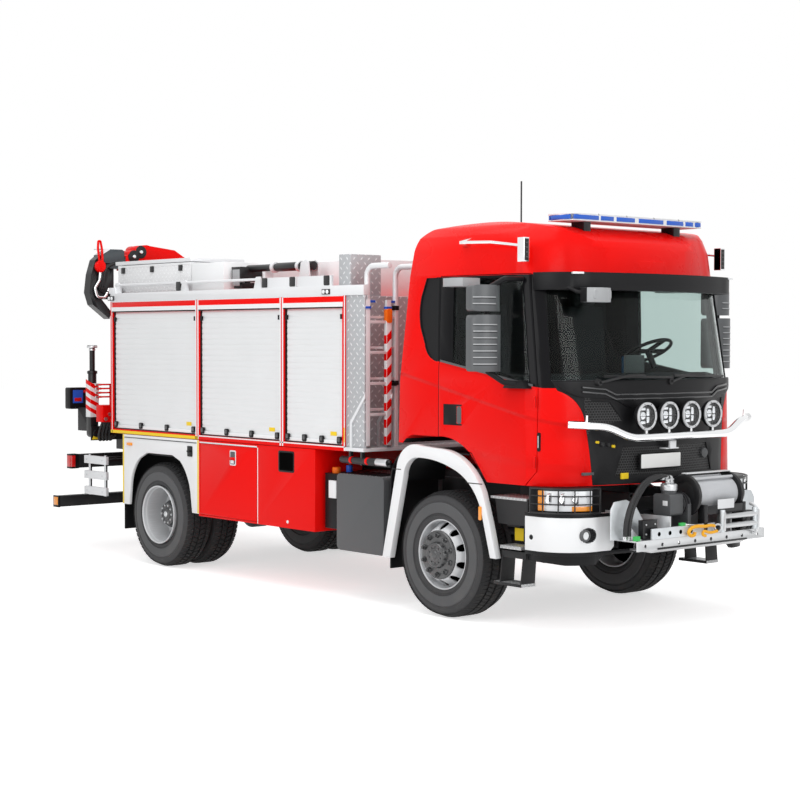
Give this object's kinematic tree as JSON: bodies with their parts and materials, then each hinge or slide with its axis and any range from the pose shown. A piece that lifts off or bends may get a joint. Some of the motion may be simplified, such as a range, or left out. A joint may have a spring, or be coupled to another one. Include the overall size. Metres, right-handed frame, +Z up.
{
  "type": "rescue truck",
  "caption": "Two-axle rescue truck with cab, roller-shutter body, front winch, light mast and folded rear crane on stabiliser legs.",
  "frame": {"origin": "on the ground at the middle of the overall length and width", "axes": "+Z up; the truck faces -Y and its own right-hand side is -X"},
  "size_m": [3.2, 8.46, 3.6748],
  "materials": {
    "red_paint": "gloss",
    "white_paint": "gloss",
    "dark_paint": "satin",
    "grey_steel": "satin",
    "black_plastic": "satin",
    "grey_plastic": "satin",
    "bright_steel": "satin",
    "aluminium": "satin",
    "tyre": "matte",
    "rubber": "matte",
    "glass": "clear",
    "lamp": "clear",
    "fabric": "matte",
    "iron": "matte"
  },
  "bodies": {
    "truck": {"body_shell": "red_paint", "bull_bar": "bright_steel", "cab_interior": "fabric", "cab_shell": "red_paint", "cab_steps": "dark_paint", "cab_windows": "glass", "chassis_frame": "dark_paint", "crane_base": "dark_paint", "driveline": "iron", "front_arches": "white_paint", "front_axle": "iron", "front_bumper": "white_paint", "front_lamps": "lamp", "front_panel": "black_plastic", "lower_panels": "red_paint", "mudguards": "black_plastic", "plate_lockers": "aluminium", "rear_arches": "white_paint", "rear_axle": "iron", "rear_guards": "grey_steel", "roof_lights": "bright_steel", "roof_rails": "aluminium", "shutters": "aluminium", "side_tanks": "dark_paint", "sun_visor": "black_plastic", "walkway": "aluminium", "winch": "dark_paint", "winch_bed": "grey_steel", "winch_hoses": "rubber"},
    "knuckle_right": {"knuckle_right": "iron"},
    "front_wheel_right": {"tyre_front_right": "tyre", "rim_front_right": "bright_steel"},
    "rear_wheel_right": {"tyre_rear_right": "tyre", "rim_rear_right": "bright_steel"},
    "door_right": {"door_right": "red_paint", "door_glass_right": "glass", "mirrors_right": "grey_plastic"},
    "locker_flap_right": {"locker_flap_right": "red_paint"},
    "stabiliser_beam_right": {"stabiliser_beam_right": "dark_paint"},
    "stabiliser_leg_right": {"stabiliser_leg_right": "dark_paint"},
    "stabiliser_foot_right": {"stabiliser_foot_right": "dark_paint"},
    "knuckle_left": {"knuckle_left": "iron"},
    "front_wheel_left": {"tyre_front_left": "tyre", "rim_front_left": "bright_steel"},
    "rear_wheel_left": {"tyre_rear_left": "tyre", "rim_rear_left": "bright_steel"},
    "door_left": {"door_left": "red_paint", "door_glass_left": "glass", "mirrors_left": "grey_plastic"},
    "locker_flap_left": {"locker_flap_left": "red_paint"},
    "stabiliser_beam_left": {"stabiliser_beam_left": "dark_paint"},
    "stabiliser_leg_left": {"stabiliser_leg_left": "dark_paint"},
    "stabiliser_foot_left": {"stabiliser_foot_left": "dark_paint"},
    "steering_wheel": {"steering_wheel": "black_plastic"},
    "roof_locker_lid": {"roof_locker_lid": "aluminium"},
    "light_mast": {"light_mast": "dark_paint"},
    "crane_column": {"crane_column": "red_paint"},
    "inner_boom": {"inner_boom": "red_paint"},
    "outer_boom": {"outer_boom": "red_paint"},
    "crane_extension": {"crane_extension": "grey_steel"}
  },
  "joints": [
    {"name": "steer_right", "type": "hinge", "parent": "truck", "child": "knuckle_right", "pos_m": [-0.84, -2.37, 0.535], "axis": [0, 0, 1], "range_deg": [-32, 32]},
    {"name": "front_wheel_spin_right", "type": "hinge", "parent": "knuckle_right", "child": "front_wheel_right", "pos_m": [-1.055, -2.37, 0.535], "axis": [1, 0, 0], "continuous": true},
    {"name": "rear_wheel_spin_right", "type": "hinge", "parent": "truck", "child": "rear_wheel_right", "pos_m": [-0.9175, 1.925, 0.535], "axis": [1, 0, 0], "continuous": true},
    {"name": "door_hinge_right", "type": "hinge", "parent": "truck", "child": "door_right", "pos_m": [-1.19, -3.422, 1.6], "axis": [0, 0, 1], "range_deg": [0, 70]},
    {"name": "flap_hinge_right", "type": "hinge", "parent": "truck", "child": "locker_flap_right", "pos_m": [-1.25, 0.69, 0.608], "axis": [0, -1, 0], "range_deg": [0, 90]},
    {"name": "beam_slide_right", "type": "slide", "parent": "truck", "child": "stabiliser_beam_right", "axis": [-1, 0, 0], "range_m": [0, 0.55]},
    {"name": "leg_tilt_right", "type": "hinge", "parent": "stabiliser_beam_right", "child": "stabiliser_leg_right", "pos_m": [-1.085, 3.5, 1.3], "axis": [0, -1, 0], "range_deg": [0, 180]},
    {"name": "foot_slide_right", "type": "slide", "parent": "stabiliser_leg_right", "child": "stabiliser_foot_right", "axis": [0, 0, 1], "range_m": [0, 0.32]},
    {"name": "steer_left", "type": "hinge", "parent": "truck", "child": "knuckle_left", "pos_m": [0.84, -2.37, 0.535], "axis": [0, 0, 1], "range_deg": [-32, 32]},
    {"name": "front_wheel_spin_left", "type": "hinge", "parent": "knuckle_left", "child": "front_wheel_left", "pos_m": [1.055, -2.37, 0.535], "axis": [1, 0, 0], "continuous": true},
    {"name": "rear_wheel_spin_left", "type": "hinge", "parent": "truck", "child": "rear_wheel_left", "pos_m": [0.9175, 1.925, 0.535], "axis": [1, 0, 0], "continuous": true},
    {"name": "door_hinge_left", "type": "hinge", "parent": "truck", "child": "door_left", "pos_m": [1.19, -3.422, 1.6], "axis": [0, 0, -1], "range_deg": [0, 70]},
    {"name": "flap_hinge_left", "type": "hinge", "parent": "truck", "child": "locker_flap_left", "pos_m": [1.25, 0.69, 0.608], "axis": [0, 1, 0], "range_deg": [0, 90]},
    {"name": "beam_slide_left", "type": "slide", "parent": "truck", "child": "stabiliser_beam_left", "axis": [1, 0, 0], "range_m": [0, 0.55]},
    {"name": "leg_tilt_left", "type": "hinge", "parent": "stabiliser_beam_left", "child": "stabiliser_leg_left", "pos_m": [1.085, 3.5, 1.3], "axis": [0, 1, 0], "range_deg": [0, 180]},
    {"name": "foot_slide_left", "type": "slide", "parent": "stabiliser_leg_left", "child": "stabiliser_foot_left", "axis": [0, 0, 1], "range_m": [0, 0.32]},
    {"name": "steering_wheel_turn", "type": "hinge", "parent": "truck", "child": "steering_wheel", "pos_m": [0.565, -3.07, 2.24], "axis": [0, 0.4695, 0.8829], "range_deg": [-520, 520]},
    {"name": "lid_hinge", "type": "hinge", "parent": "truck", "child": "roof_locker_lid", "pos_m": [-0.49, 2.155, 3.13], "axis": [0, 1, 0], "range_deg": [0, 100]},
    {"name": "mast_raise", "type": "hinge", "parent": "truck", "child": "light_mast", "pos_m": [-0.95, -0.22, 3.03], "axis": [1, 0, 0], "range_deg": [0, 90]},
    {"name": "crane_slew", "type": "hinge", "parent": "truck", "child": "crane_column", "pos_m": [-0.3, 3.68, 1.5], "axis": [0, 0, 1], "range_deg": [0, 180]},
    {"name": "inner_boom_lift", "type": "hinge", "parent": "crane_column", "child": "inner_boom", "pos_m": [-0.3, 3.68, 2.48], "axis": [0, -1, 0], "range_deg": [0, 60]},
    {"name": "outer_boom_fold", "type": "hinge", "parent": "inner_boom", "child": "outer_boom", "pos_m": [1, 3.68, 2.99], "axis": [0, 1, 0], "range_deg": [0, 180]},
    {"name": "boom_extend", "type": "slide", "parent": "outer_boom", "child": "crane_extension", "axis": [-1, 0, 0], "range_m": [0, 1.2]}
  ],
  "couplings": [
    {"joint": "steer_left", "follows": "steer_right", "ratio": 1},
    {"joint": "steering_wheel_turn", "follows": "steer_right", "ratio": 16}
  ]
}
